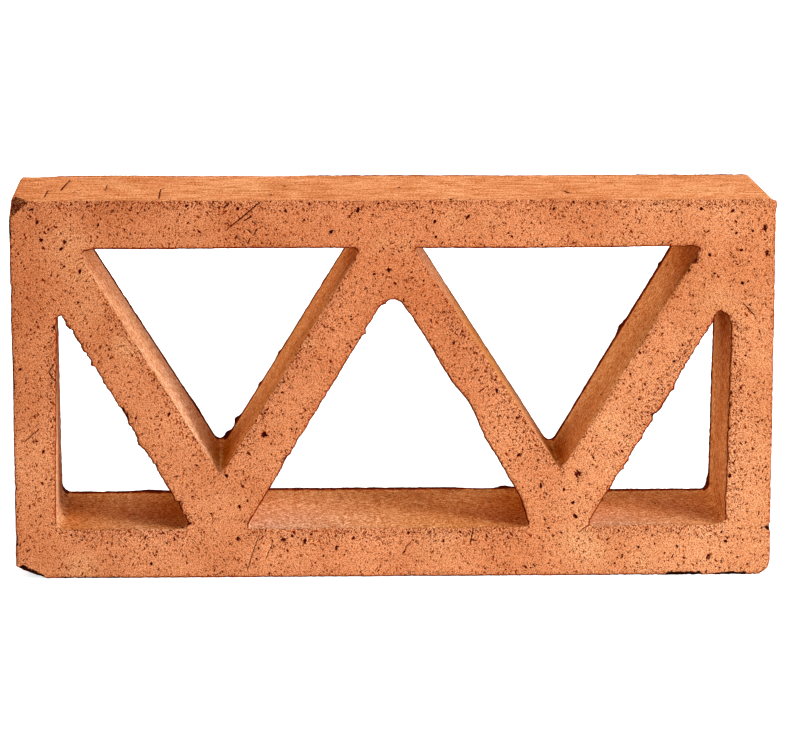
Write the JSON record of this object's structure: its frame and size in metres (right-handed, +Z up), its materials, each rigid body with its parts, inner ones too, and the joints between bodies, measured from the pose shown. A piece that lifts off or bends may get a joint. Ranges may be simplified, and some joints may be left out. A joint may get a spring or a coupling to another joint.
{
  "type": "breeze block",
  "caption": "Fired clay screen block with triangular openings between zigzag webs, laid in mortar to make a wall that lets air and light through.",
  "frame": {"origin": "centre of the bottom bed face, on the surface that the block stands on", "axes": "+X along the block's length, to the right seen from the front; +Y from the front wire-cut face to the back one; +Z up, from the bottom bed to the top bed"},
  "size_m": [0.4, 0.09, 0.2],
  "materials": {
    "fired_clay": "matte orange terracotta, coarse and pitted on the wire-cut front and back, smoother with fine drag streaks on the extruded sides and in the openings"
  },
  "bodies": {
    "root": {"block": "fired_clay"}
  },
  "joints": []
}
